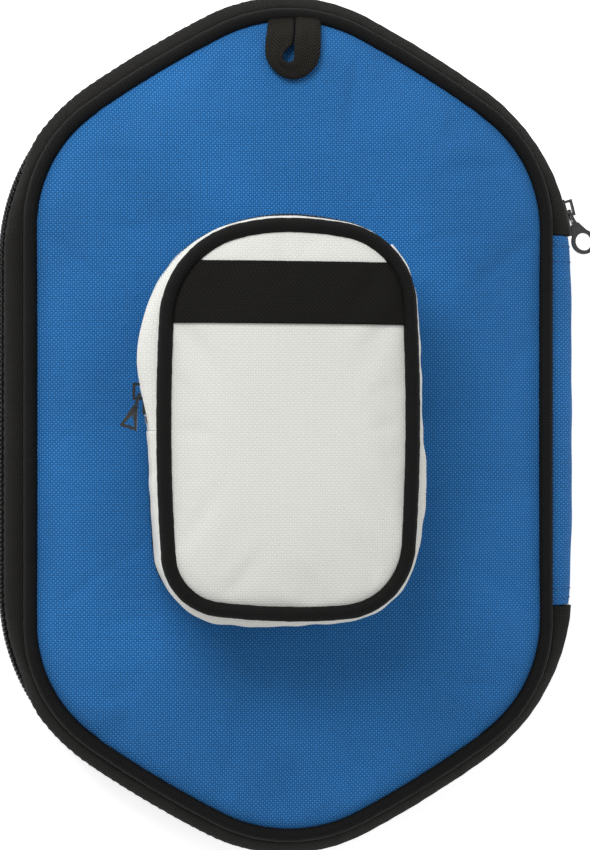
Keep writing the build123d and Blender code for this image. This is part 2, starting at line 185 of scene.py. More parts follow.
# ------------------------------------------------------------------ surfaces
def smooth(points: Sequence[Sequence[float]], count: int, closed: bool = False) -> Array:
    """A Catmull-Rom curve through given points: each span is the cubic whose end slopes are half the chord
    between a point's two neighbours.

    Args:
        points: rows of coordinates.
        count: number of samples.
        closed: whether the last point joins the first.

    Returns:
        Samples (count, k).
    """
    p = np.asarray(points, float)
    p = np.vstack([p[-1:], p, p[:2]]) if closed else np.vstack([2 * p[:1] - p[1:2], p, 2 * p[-1:] - p[-2:-1]])
    spans = len(p) - 3
    t = np.linspace(0.0, spans, count, endpoint=not closed)
    i = np.minimum(t.astype(int), spans - 1)
    f = (t - i)[:, None]
    a, b, c, d = p[i], p[i + 1], p[i + 2], p[i + 3]
    return 0.5 * (2 * b + (c - a) * f + (2 * a - 5 * b + 4 * c - d) * f**2 + (3 * b - a - 3 * c + d) * f**3)


def ripple(s: Array, length: float, seed: int, waves: Sequence[int], size: float) -> Array:
    """A periodic unevenness: the sum of sines with the given whole numbers of waves in length and seeded phases."""
    rng = np.random.default_rng(seed)
    total = np.zeros_like(np.asarray(s, float))
    for wave in waves:
        total = total + rng.uniform(0.5, 1.0) * np.sin(TAU * wave * s / length + rng.uniform(0, TAU))
    return total * size / max(len(waves), 1)


def raised(xy: Array, z: float) -> Array:
    """Points (n, 2) given one height, (n, 3)."""
    return np.concatenate([xy, np.full((len(xy), 1), z)], -1)


def there_and_back(count: int) -> Array:
    """From 0 to 1 and back to 0, in count samples each way."""
    return np.concatenate([np.linspace(0, 1, count), np.linspace(1, 0, count)])


def coords(mesh: bpy.types.Mesh) -> Array:
    """A mesh's vertices (n, 3) in metres."""
    co = np.empty(len(mesh.vertices) * 3)
    mesh.vertices.foreach_get("co", co)
    return co.reshape(-1, 3)


def set_coords(mesh: bpy.types.Mesh, co: Array) -> None:
    """Moves a mesh's vertices to points (n, 3) in metres."""
    mesh.vertices.foreach_set("co", co.ravel())
    mesh.update()


def finish_mesh(mesh: bpy.types.Mesh) -> None:
    """Smooth shading, and faces turned outwards where the signed volume is negative."""
    mesh.validate()
    mesh.polygons.foreach_set("use_smooth", np.ones(len(mesh.polygons), bool))
    mesh.calc_loop_triangles()
    tri = np.empty(len(mesh.loop_triangles) * 3, int)
    mesh.loop_triangles.foreach_get("vertices", tri)
    a, b, c = coords(mesh)[tri.reshape(-1, 3)].transpose(1, 0, 2)
    if np.einsum("ij,ij->i", a, np.cross(b, c)).sum() < 0:
        mesh.flip_normals()
    mesh.update()


def add_object(name: str, verts: Array, faces: list, uv: Array | None = None) -> bpy.types.Object:
    """An object at the origin from vertices in mm, faces and a UV for each face corner, in metres."""
    mesh = bpy.data.meshes.new(name)
    mesh.from_pydata((verts * MM).tolist(), [], faces)
    if uv is not None:
        layer = mesh.uv_layers.new(name="UVMap")
        layer.data.foreach_set("uv", np.asarray(uv, np.float32).ravel())
    finish_mesh(mesh)
    obj = bpy.data.objects.new(name, mesh)
    bpy.context.collection.objects.link(obj)
    return obj


def lattice(name: str, grid: Array, wrap: tuple[bool, bool], us: Array, vs: Array) -> bpy.types.Object:
    """A surface from a grid of points, with its ends capped where only the second way wraps.

    Args:
        name: the piece's name.
        grid: points (n, m, 3) in mm.
        wrap: whether each way closes on itself.
        us: distances along the first way in mm, one more than n where it wraps.
        vs: the same for the second way.

    Returns:
        The new object.
    """
    nu, nv = grid.shape[:2]
    i, j = np.meshgrid(np.arange(nu - (not wrap[0])), np.arange(nv - (not wrap[1])), indexing="ij")
    i, j = i.ravel(), j.ravel()
    i1, j1 = (i + 1) % nu, (j + 1) % nv
    quads = np.stack([i * nv + j, i1 * nv + j, i1 * nv + j1, i * nv + j1], -1)
    corner_u = np.stack([us[i], us[i + 1], us[i + 1], us[i]], -1)
    corner_v = np.stack([vs[j], vs[j], vs[j + 1], vs[j + 1]], -1)
    uv = np.stack([corner_u, corner_v], -1).reshape(-1, 2) * MM
    faces = quads.tolist()
    if wrap[1] and not wrap[0]:
        first = np.arange(nv)
        faces += [first.tolist(), ((nu - 1) * nv + first[::-1]).tolist()]
        uv = np.vstack([uv, grid[0, :, 1:] * MM, grid[-1, ::-1, 1:] * MM])
    return add_object(name, grid.reshape(-1, 3), faces, uv)


def profile_lengths(profile: Array) -> Array:
    """Distances along a closed profile (m, k) in mm, m + 1 of them."""
    closed = np.vstack([profile, profile[:1]])
    return np.concatenate([[0.0], np.cumsum(np.linalg.norm(np.diff(closed, axis=0), axis=1))])


def carried(name: str, base: Outline, foot: Outline, profile: Array, s: Array, closed: bool,
            wave: Array | None = None) -> bpy.types.Object:
    """A profile carried along an outline: each profile point lies a share of the way from the foot outline to the
    base outline, moved out along the normal.

    Args:
        name: the piece's name.
        base: the outline that s runs along.
        foot: the inner outline.
        profile: rows of (share, outward mm, z mm), closed.
        s: arc lengths in mm.
        closed: whether s goes all the way round.
        wave: extra outward mm, (len(s), len(profile)).

    Returns:
        The new object.
    """
    rim, normal = base.at(s)
    inner = rim if foot is base else foot.nearest(rim)
    share, out, z = profile.T
    push = out[None, :] + (0.0 if wave is None else wave)
    xy = inner[:, None, :] * (1 - share)[None, :, None] + rim[:, None, :] * share[None, :, None]
    xy = xy + normal[:, None, :] * push[..., None]
    grid = np.concatenate([xy, np.broadcast_to(z[None, :, None], (len(s), len(z), 1))], -1)
    us = np.append(s, s[0] + base.length) if closed else s
    flat = np.stack([share * 8.0 + out, z], -1)
    return lattice(name, grid, (closed, True), us, profile_lengths(flat))


def tube(name: str, points: Array, radius: Array | float, side: Array, sides: int, closed: bool) -> bpy.types.Object:
    """A round tube along points: at each, a circle in the plane across the path.

    Args:
        name: the piece's name.
        points: path (n, 3) in mm.
        radius: in mm, one or one for each point.
        side: vectors (n, 3) that are never along the path, which set how the circle is turned.
        sides: corners of the circle.
        closed: whether the path closes on itself.

    Returns:
        The new object.
    """
    ring = np.vstack([points[-1:], points, points[:1]]) if closed else points
    run = np.gradient(ring, axis=0)
    run = run[1:-1] if closed else run
    run /= np.linalg.norm(run, axis=1, keepdims=True)
    across = np.cross(run, side)
    across /= np.linalg.norm(across, axis=1, keepdims=True)
    other = np.cross(across, run)
    phi = np.linspace(0, TAU, sides, endpoint=False)
    r = np.broadcast_to(np.asarray(radius, float), (len(points),))[:, None, None]
    grid = points[:, None] + r * (np.cos(phi)[None, :, None] * across[:, None]
                                  + np.sin(phi)[None, :, None] * other[:, None])
    steps = np.linalg.norm(np.diff(points, axis=0), axis=1)
    us = np.concatenate([[0.0], np.cumsum(steps)])
    us = np.append(us, us[-1] + steps[-1]) if closed else us
    vs = np.linspace(0, TAU * float(np.mean(radius)), sides + 1)
    return lattice(name, grid, (closed, True), us, vs)


def cord_round(name: str, path: Outline, z: float, count: int, radius: Array | float,
               sides: int = 20) -> bpy.types.Object:
    """A round tube laid along the whole of an outline.

    Args:
        name: the piece's name.
        path: the outline.
        z: its height in mm.
        count: samples along it.
        radius: in mm, one or one for each sample.
        sides: corners of the tube's circle.

    Returns:
        The new object.
    """
    at, _ = path.at(np.linspace(0, path.length, count, endpoint=False))
    return tube(name, raised(at, z), radius, np.broadcast_to([0.0, 0.0, 1.0], (count, 3)), sides, True)


def stitches(name: str, path: Array, up: Array, length: float, gap: float, radius: float) -> bpy.types.Object:
    """A row of thread stitches: short lens-shaped rods laid end to end along a path, each sunk at its ends.

    Args:
        name: the piece's name.
        path: points (n, 3) in mm that the row follows.
        up: outward directions (n, 3).
        length: a stitch's length in mm.
        gap: space between stitches in mm.
        radius: the thread's radius in mm.

    Returns:
        The new object.
    """
    steps = np.concatenate([[0.0], np.cumsum(np.linalg.norm(np.diff(path, axis=0), axis=1))])
    count = max(1, int(steps[-1] / (length + gap)))
    middles = (np.arange(count) + 0.5) * steps[-1] / count

    def along(values: Array, s: Array) -> Array:
        """Values at distances s along the path."""
        return np.stack([np.interp(s, steps, values[:, k]) for k in range(3)], -1)

    low, high = along(path, middles - length / 2), along(path, middles + length / 2)
    centre, out = along(path, middles), along(up, middles)
    run = high - low
    run /= np.maximum(np.linalg.norm(run, axis=1, keepdims=True), 1e-9)
    out = out - run * np.einsum("ij,ij->i", out, run)[:, None]
    out /= np.linalg.norm(out, axis=1, keepdims=True)
    across = np.cross(out, run)
    t = np.linspace(-1, 1, 5)
    phi = np.linspace(0, TAU, 6, endpoint=False)
    swell = radius * (0.35 + 0.65 * np.sqrt(1 - 0.96 * t**2))
    lift = radius * (0.55 - 1.1 * t**2)
    grid = (centre[:, None, None] + run[:, None, None] * (t * length / 2)[None, :, None, None]
            + across[:, None, None] * (swell[:, None] * np.cos(phi))[None, ..., None]
            + out[:, None, None] * (lift[:, None] + swell[:, None] * np.sin(phi))[None, ..., None])
    i, j = np.meshgrid(np.arange(4), np.arange(6), indexing="ij")
    i, j = i.ravel(), j.ravel()
    quad = np.stack([i * 6 + j, (i + 1) * 6 + j, (i + 1) * 6 + (j + 1) % 6, i * 6 + (j + 1) % 6], -1)
    offsets = (np.arange(count) * 30)[:, None, None]
    faces = (quad[None] + offsets).reshape(-1, 4).tolist()
    ends = np.stack([np.arange(6), 24 + np.arange(6)[::-1]])
    faces += (ends[None] + offsets).reshape(-1, 6).tolist()
    return add_object(name, grid.reshape(-1, 3), faces)


# ------------------------------------------------------------------ finishes
class Graph:
    """A material's node tree with short ways to add nodes."""

    def __init__(self, name: str) -> None:
        """Makes the material with one Principled shader wired to its output."""
        self.material = bpy.data.materials.new(name)
        self.material.use_nodes = True
        self.tree = self.material.node_tree
        self.tree.nodes.clear()
        self.shader = self.tree.nodes.new("ShaderNodeBsdfPrincipled")
        output = self.tree.nodes.new("ShaderNodeOutputMaterial")
        self.tree.links.new(self.shader.outputs[0], output.inputs["Surface"])

    def wire(self, value: object, socket: bpy.types.NodeSocket) -> None:
        """Links a socket, or sets a number or a colour."""
        if isinstance(value, bpy.types.NodeSocket):
            self.tree.links.new(value, socket)
        elif value is not None:
            socket.default_value = value

    def node(self, kind: str, inputs: dict, **settings: object) -> bpy.types.Node:
        """A node with its settings made and its inputs wired by name or number."""
        made = self.tree.nodes.new(kind)
        for key, value in settings.items():
            setattr(made, key, value)
        for key, value in inputs.items():
            self.wire(value, made.inputs[key])
        return made

    def math(self, op: str, a: object, b: object = None, c: object = None) -> bpy.types.NodeSocket:
        """A Math node's result."""
        return self.node("ShaderNodeMath", {0: a, 1: b, 2: c}, operation=op).outputs[0]

    def mix(self, factor: object, a: object, b: object, way: str = "MIX") -> bpy.types.NodeSocket:
        """A colour mix's result."""
        made = self.node("ShaderNodeMix", {0: factor}, data_type="RGBA", blend_type=way)
        self.wire(a, made.inputs["A"])
        self.wire(b, made.inputs["B"])
        return made.outputs["Result"]

    def tint(self, colour: object, tone: object) -> bpy.types.NodeSocket:
        """A colour times a number."""
        grey = self.node("ShaderNodeCombineXYZ", {0: tone, 1: tone, 2: tone}).outputs[0]
        return self.mix(1.0, colour, grey, "MULTIPLY")

    def lerp(self, factor: object, a: object, b: object) -> bpy.types.NodeSocket:
        """A number mix's result."""
        return self.node("ShaderNodeMix", {0: factor, 2: a, 3: b}, data_type="FLOAT").outputs[0]

    def noise(self, vector: object, scale: float, detail: float = 3.0) -> bpy.types.NodeSocket:
        """A noise texture's factor."""
        return self.node("ShaderNodeTexNoise", {"Vector": vector, "Scale": scale, "Detail": detail}).outputs[0]

    def span(self, value: object, low: float, high: float, to_low: float, to_high: float) -> bpy.types.NodeSocket:
        """A number moved from one range to another, clamped."""
        return self.node("ShaderNodeMapRange", {0: value, 1: low, 2: high, 3: to_low, 4: to_high}).outputs[0]

    def objects(self) -> bpy.types.NodeSocket:
        """The Object coordinate."""
        return self.node("ShaderNodeTexCoord", {}).outputs["Object"]

    def uv(self, turn: float) -> tuple:
        """The UV map's two coordinates in metres, turned by an angle in radians, and the vector itself."""
        raw = self.node("ShaderNodeUVMap", {}, uv_map="UVMap").outputs[0]
        turned = self.node("ShaderNodeMapping", {"Vector": raw, "Rotation": (0.0, 0.0, turn)}).outputs[0]
        parts = self.node("ShaderNodeSeparateXYZ", {0: turned})
        return parts.outputs[0], parts.outputs[1], turned

    def bump(self, height: object, distance: float) -> None:
        """Wires a bump to the shader."""
        made = self.node("ShaderNodeBump", {"Height": height, "Distance": distance})
        self.wire(made.outputs[0], self.shader.inputs["Normal"])

    def set(self, **values: object) -> None:
        """Sets or links the shader's sockets, with underscores for the spaces in their names."""
        for key, value in values.items():
            self.wire(value, self.shader.inputs[key.replace("_", " ")])


def rgb(red: float, green: float, blue: float) -> tuple[float, float, float, float]:
    """A colour as the shader's sockets take it."""
    return (red, green, blue, 1.0)


class Lay(Enum):
    """How a fabric's yarns lie to the piece's own length."""

    STRAIGHT = 0.0
    BIAS = 0.785


@dataclass(frozen=True)
class Weave:
    """A plain-woven fabric: yarns of one pitch pass over and under each other."""

    name: str
    warp: tuple[float, float, float, float]
    weft: tuple[float, float, float, float]
    pitch: float
    lay: Lay = Lay.STRAIGHT
    roughness: float = 0.78
    sheen: float = 0.15
    gap_shade: float = 0.55
    mottle: float = 0.10
    relief: float = 0.3
    specular: float = 0.25

    def build(self) -> bpy.types.Material:
        """Builds the material.

        Each cell of the yarn grid is a pillow whose height is the root of a sine across the yarn on top, and the
        yarn on top changes from cell to cell.

        Returns:
            The material.
        """
        g = Graph(self.name)
        u, v, vector = g.uv(self.lay.value)
        wobble = g.math("MULTIPLY", g.math("SUBTRACT", g.noise(vector, 160.0, 2.0), 0.5), self.pitch * 0.55)
        a = g.math("DIVIDE", g.math("ADD", u, wobble), self.pitch)
        b = g.math("DIVIDE", g.math("SUBTRACT", v, wobble), self.pitch)
        pillow_a = g.math("SINE", g.math("MULTIPLY", g.math("FRACT", a), np.pi))
        pillow_b = g.math("SINE", g.math("MULTIPLY", g.math("FRACT", b), np.pi))
        cells = g.math("ADD", g.math("FLOOR", a), g.math("FLOOR", b))
        parity = g.math("PINGPONG", cells, 1.0)
        over = g.math("MULTIPLY", g.math("SQRT", pillow_a), g.math("MULTIPLY_ADD", pillow_b, 0.5, 0.5))
        under = g.math("MULTIPLY", g.math("SQRT", pillow_b), g.math("MULTIPLY_ADD", pillow_a, 0.5, 0.5))
        height = g.lerp(parity, over, under)
        # painted shade: the colour is darkened towards gap_shade times in the low gaps between the yarns, where shade
        # falls; the broad mottle and the fibre speckle are the cloth's own uneven tone
        shade = g.span(height, 0.0, 0.85, self.gap_shade, 1.0)
        broad = g.span(g.noise(g.objects(), 22.0, 3.0), 0.3, 0.7, 1 - self.mottle, 1 + self.mottle)
        fibre = g.span(g.noise(vector, 2600.0, 2.0), 0.3, 0.7, 0.93, 1.07)
        tone = g.math("MULTIPLY", g.math("MULTIPLY", shade, broad), fibre)
        # the warp and weft colours with the painted shade in the yarn gaps multiplied in
        colour_with_painted_light = g.tint(g.mix(parity, self.warp, self.weft), tone)
        g.set(Base_Color=colour_with_painted_light, Roughness=g.span(height, 0.0, 1.0, 0.95, self.roughness))
        g.set(Sheen_Weight=self.sheen, Sheen_Roughness=0.45, Specular_IOR_Level=self.specular)
        g.bump(g.math("ADD", height, g.math("MULTIPLY", fibre, 0.3)), self.pitch * self.relief)
        return g.material


@dataclass(frozen=True)
class Chevron:
    """Narrow webbing woven in a herringbone: slanting ribs that turn back at each quarter of its width."""

    name: str
    colour: tuple[float, float, float, float]
    rib: float = 0.0013
    column: float = 0.0026

    def build(self) -> bpy.types.Material:
        """Builds the material: rib height is a sine of the distance along, shifted by the folded distance across.

        Returns:
            The material.
        """
        g = Graph(self.name)
        u, v, vector = g.uv(0.0)
        fold = g.math("PINGPONG", v, self.column)
        slant = g.math("ADD", g.math("DIVIDE", u, self.rib), g.math("DIVIDE", fold, self.rib * 0.9))
        rib = g.math("ABSOLUTE", g.math("SINE", g.math("MULTIPLY", slant, np.pi)))
        speck = g.span(g.noise(vector, 1800.0, 2.0), 0.3, 0.7, 0.8, 1.25)
        # painted shade and painted highlight: the colour runs from 0.35 times in the rib valleys to 1.25 times on the
        # rib crests; the speck is the webbing's own uneven tone
        colour_with_painted_light = g.tint(self.colour, g.math("MULTIPLY", g.span(rib, 0.0, 1.0, 0.35, 1.25), speck))
        g.set(Base_Color=colour_with_painted_light, Roughness=g.span(rib, 0.0, 1.0, 0.9, 0.62))
        g.set(Specular_IOR_Level=0.12)
        g.bump(rib, 0.00035)
        return g.material


@dataclass(frozen=True)
class Hard:
    """A smooth hard finish: enamel, nylon, steel or foam skin, with fine unevenness in its gloss and surface."""

    name: str
    colour: tuple[float, float, float, float]
    roughness: float
    metal: float = 0.0
    coat: float = 0.0
    grain: float = 900.0
    relief: float = 0.00002
    spread: float = 0.12

    def build(self) -> bpy.types.Material:
        """Builds the material.

        Returns:
            The material.
        """
        g = Graph(self.name)
        place = g.objects()
        fine, broad = g.noise(place, self.grain, 3.0), g.noise(place, 90.0, 4.0)
        worn = tuple(min(1.0, c * 1.8 + 0.01) for c in self.colour[:3]) + (1.0,)
        g.set(Base_Color=g.mix(g.span(broad, 0.45, 0.75, 0.0, 0.6), self.colour, worn))
        g.set(Roughness=g.span(fine, 0.3, 0.7, self.roughness - self.spread / 2, self.roughness + self.spread / 2))
        g.set(Metallic=self.metal, Coat_Weight=self.coat, Coat_Roughness=0.12)
        g.bump(fine, self.relief)
        return g.material


BLUE_CLOTH = Weave("blue_cloth", rgb(0.033, 0.238, 0.635), rgb(0.018, 0.148, 0.425), 0.00076, gap_shade=0.2,
                   sheen=0.02, relief=0.4)
WHITE_CLOTH = Weave("white_cloth", rgb(0.755, 0.755, 0.715), rgb(0.712, 0.712, 0.675), 0.00085, mottle=0.02,
                    gap_shade=0.88, sheen=0.0, relief=0.14)
BLACK_BINDING = Weave("black_binding", rgb(0.0085, 0.0083, 0.0078), rgb(0.0050, 0.0050, 0.0048), 0.00072, Lay.BIAS,
                      sheen=0.0, roughness=0.6, specular=0.14)
BLACK_BAND = Weave("black_band", rgb(0.0120, 0.0115, 0.0100), rgb(0.0080, 0.0076, 0.0068), 0.00072, sheen=0.0,
                   roughness=0.7, specular=0.12)
ZIP_TAPE = Weave("zip_tape_cloth", rgb(0.007, 0.007, 0.007), rgb(0.004, 0.004, 0.004), 0.0005, Lay.BIAS, sheen=0.0,
                 specular=0.1)
LINING = Weave("lining_cloth", rgb(0.030, 0.031, 0.034), rgb(0.024, 0.025, 0.028), 0.0004)
THREAD_BLACK = Hard("black_thread", rgb(0.008, 0.008, 0.008), 0.7, grain=2500.0)
THREAD_BLUE = Hard("blue_thread", rgb(0.012, 0.080, 0.24), 0.7, grain=2500.0)
WEBBING = Chevron("black_webbing", rgb(0.016, 0.0145, 0.0115))
COIL_NYLON = Hard("coil_nylon", rgb(0.012, 0.012, 0.0125), 0.32, grain=1500.0)
ENAMEL = Hard("black_enamel", rgb(0.006, 0.006, 0.006), 0.30, coat=0.3, relief=0.000012)
STEEL = Hard("stop_steel", rgb(0.32, 0.32, 0.33), 0.38, metal=1.0)
CORE = Hard("cord_core", rgb(0.6, 0.6, 0.58), 0.5)


class Finishes:
    """Every finish of the case, each built once."""

    def __init__(self) -> None:
        """Starts with none built."""
        self.built: dict[str, bpy.types.Material] = {}

    def give(self, obj: bpy.types.Object, finish: Weave | Chevron | Hard) -> None:
        """Puts a finish on an object's every slot."""
        if finish.name not in self.built:
            self.built[finish.name] = finish.build()
        material = self.built[finish.name]
        if not obj.material_slots:
            obj.data.materials.append(material)
        for index in range(len(obj.material_slots)):
            obj.material_slots[index].material = material


FINISHES = Finishes()


def place(obj: bpy.types.Object, body: str, finish: Weave | Chevron | Hard, slot: str, *nodes: str) -> None:
    """Dresses a piece, sets its body and hides the CAD nodes it stands for.

    Args:
        obj: the piece.
        body: the CAD body it moves with, or "" where it moves with no body.
        finish: its finish.
        slot: not used.
        nodes: CAD nodes that it replaces.
    """
    FINISHES.give(obj, finish)
    if body:
        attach(obj, body)
    if nodes:
        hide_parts(*nodes)
    log.info("%s: %d faces", obj.name, len(obj.data.polygons))


# ------------------------------------------------------------------ padded panels
@dataclass(frozen=True)
class Pad:
    """A padded panel inside an outline: two sheets that meet at the seam, the outer one crowned."""

    name: str
    edge: Outline
    cells: tuple[int, int]
    seam_z: float
    outer_z: float
    inner_z: float
    reach: float
    pressure: float
    cap: float

    def sheet(self) -> tuple[Array, Array, Array]:
        """A grid over the outline: squares about the centre, each a scaled copy of the outline.

        Returns:
            Points (n, m, 2) in mm, each one's share of the way out, and its distance in from the seam in mm.
        """
        nx, ny = self.cells
        gx, gy = np.meshgrid(np.linspace(-1, 1, nx + 1), np.linspace(-1, 1, ny + 1), indexing="ij")
        share = np.maximum(np.abs(gx), np.abs(gy))
        safe = np.maximum(share, 1e-9)
        side = np.abs(gx) >= np.abs(gy)
        part = np.where(side, np.abs(gy) / safe * ny, (nx + ny) - np.abs(gx) / safe * nx) / (nx + ny)
        turn = np.where(gx >= 0, np.where(gy >= 0, part, 4 - part), np.where(gy >= 0, 2 - part, 2 + part))
        knots = self.edge.knots()[0][::4]
        points, normals = self.edge.at(np.interp(turn.ravel(), np.arange(5), knots))
        points -= np.array([self.edge.x, self.edge.y])
        reach = np.einsum("ij,ij->i", points, normals).reshape(share.shape)
        xy = points.reshape(*share.shape, 2) * share[..., None] + np.array([self.edge.x, self.edge.y])
        return xy, share, (1 - share) * reach

    def build(self, sewn: Outline | None = None) -> bpy.types.Object:
        """Builds the pad, puffs it by cloth simulation and subdivides it once.

        The outer sheet's height rises from the seam as one minus an exponential of the distance in.

        Args:
            sewn: an outline inside which the outer sheet is sewn down and doesn't puff.

        Returns:
            The padded piece.
        """
        xy, share, inset = self.sheet()
        rise = 1 - np.exp(-inset / self.reach)
        outer = self.seam_z + (self.outer_z - self.seam_z) * rise
        inner = self.seam_z + (self.inner_z - self.seam_z) * np.minimum(inset / 2.0, 1.0)
        verts = np.concatenate([np.concatenate([xy, z[..., None]], -1).reshape(-1, 3) for z in (outer, inner)])
        n, m = share.shape
        i, j = np.meshgrid(np.arange(n - 1), np.arange(m - 1), indexing="ij")
        first = (i * m + j).ravel()
        quads = np.stack([first, first + m, first + m + 1, first + 1], -1)
        quads = np.concatenate([quads, quads[:, ::-1] + n * m])
        uv = verts[quads.ravel(), :2] * MM
        obj = add_object(self.name, verts, quads.tolist(), uv)
        pins = np.concatenate([self.pins(xy, share, sewn), np.ones(n * m)])
        group = obj.vertex_groups.new(name="pin")
        for level in np.unique(pins):
            group.add(np.flatnonzero(pins == level).tolist(), float(level), "REPLACE")
        self.merge_seam(obj)
        self.simulate(obj)
        extra = obj.modifiers.new("round", "SUBSURF")
        extra.levels = extra.render_levels = 1
        return obj

    @staticmethod
    def pins(xy: Array, share: Array, sewn: Outline | None) -> Array:
        """How firmly each point of the outer sheet is held: fully at the seam and where it is sewn down."""
        held = np.where(share > 0.985, 1.0, 0.0)
        if sewn is not None:
            x = np.abs(xy[..., 0] - sewn.x) / sewn.half_w
            y = np.abs(xy[..., 1] - sewn.y) / sewn.half_h
            held = np.maximum(held, np.where(x**7 + y**7 < 1, 1.0, 0.0))
        return held.ravel()

    @staticmethod
    def merge_seam(obj: bpy.types.Object) -> None:
        """Joins the two sheets at the seam."""
        bm = bmesh.new()
        bm.from_mesh(obj.data)
        bmesh.ops.remove_doubles(bm, verts=bm.verts, dist=0.00002)
        bmesh.ops.recalc_face_normals(bm, faces=bm.faces)
        bm.to_mesh(obj.data)
        bm.free()
        obj.data.update()

    def simulate(self, obj: bpy.types.Object) -> None:
        """Puffs the pad with Blender's cloth under pressure, caps how far a point moves, and keeps the result."""
        rest = coords(obj.data)
        cloth = obj.modifiers.new("puff", "CLOTH")
        cloth.settings.use_pressure = True
        cloth.settings.uniform_pressure_force = self.pressure
        cloth.settings.effector_weights.gravity = 0.0
        cloth.settings.vertex_group_mass = "pin"
        cloth.settings.quality = 6
        cloth.settings.shrink_min = -0.002
        for step in range(1, 21):
            bpy.context.scene.frame_set(step)
        solved = obj.evaluated_get(bpy.context.evaluated_depsgraph_get())
        puffed = coords(solved.data)
        obj.modifiers.remove(cloth)
        bpy.context.scene.frame_set(1)
        move = puffed - rest
        far = np.linalg.norm(move, axis=1, keepdims=True)
        limit = self.cap * MM
        move *= np.where(far > 1e-12, limit * np.tanh(far / limit) / np.maximum(far, 1e-12), 0.0)
        final = rest + move
        final[:, 2] = np.maximum(final[:, 2], 0.0)
        set_coords(obj.data, final)
        log.info("%s puffed by up to %.2f mm", obj.name, np.linalg.norm(move, axis=1).max() / MM)


# ------------------------------------------------------------------ zips
@dataclass(frozen=True)
class Coil:
    """One strand of a nylon coil zip: a monofilament wound in a flattened spiral."""

    name: str
    track: Outline
    z: float
    half_width: float
    depth: float
    pitch: float
    wire: float
    phase: float

    def build(self, start: float, end: float, bulge: Callable[[Array], Array] = np.zeros_like) -> bpy.types.Object:
        """Builds the strand: height is a cosine and depth a sine of the distance along, once each pitch.

        Args:
            start: arc length where it starts, in mm.
            end: arc length where it ends, in mm.
            bulge: how far out of the track the strand lies at arc lengths, in mm.

        Returns:
            The strand.
        """
        turns = (end - start) / self.pitch
        s = np.linspace(start, end, int(turns * 10))
        angle = TAU * s / self.pitch + self.phase
        at, normal = self.track.at(s)
        deep = bulge(s) - self.depth / 2 + (self.depth / 2 - self.wire) * np.sin(angle)
        z = self.z + (self.half_width - self.wire) * np.cos(angle)
        points = np.concatenate([at + normal * deep[:, None], z[:, None]], -1)
        along = np.stack([-normal[:, 1], normal[:, 0], np.zeros(len(s))], -1)
        return tube(self.name, points, self.wire, along, 6, False)


def slab(name: str, edge: Outline, low: float, high: float) -> bpy.types.Object:
    """A flat sheet of an outline's shape between two heights in mm."""
    s = np.linspace(0, edge.length, 240, endpoint=False)
    xy, _ = edge.at(s)
    grid = np.stack([raised(xy, z) for z in (low, high)], 1)
    i = np.arange(240)
    quads = np.stack([2 * i, 2 * ((i + 1) % 240), 2 * ((i + 1) % 240) + 1, 2 * i + 1], -1)
    faces = quads.tolist() + [(2 * i + 1).tolist(), (2 * i[::-1]).tolist()]
    verts = grid.reshape(-1, 3)
    uv = verts[np.concatenate([np.asarray(face) for face in faces]), :2] * MM
    return add_object(name, verts, faces, uv)


def tape_profile(out: float, thickness: float, z0: float, z1: float) -> Array:
    """A thin upright strip's closed profile, as (share, outward, z) rows."""
    z = np.linspace(z0, z1, 7)
    ones = np.ones_like(z)
    outer = np.stack([ones, out * ones, z], -1)
    inner = np.stack([ones, (out - thickness) * ones, z[::-1]], -1)
    return np.vstack([outer, inner])


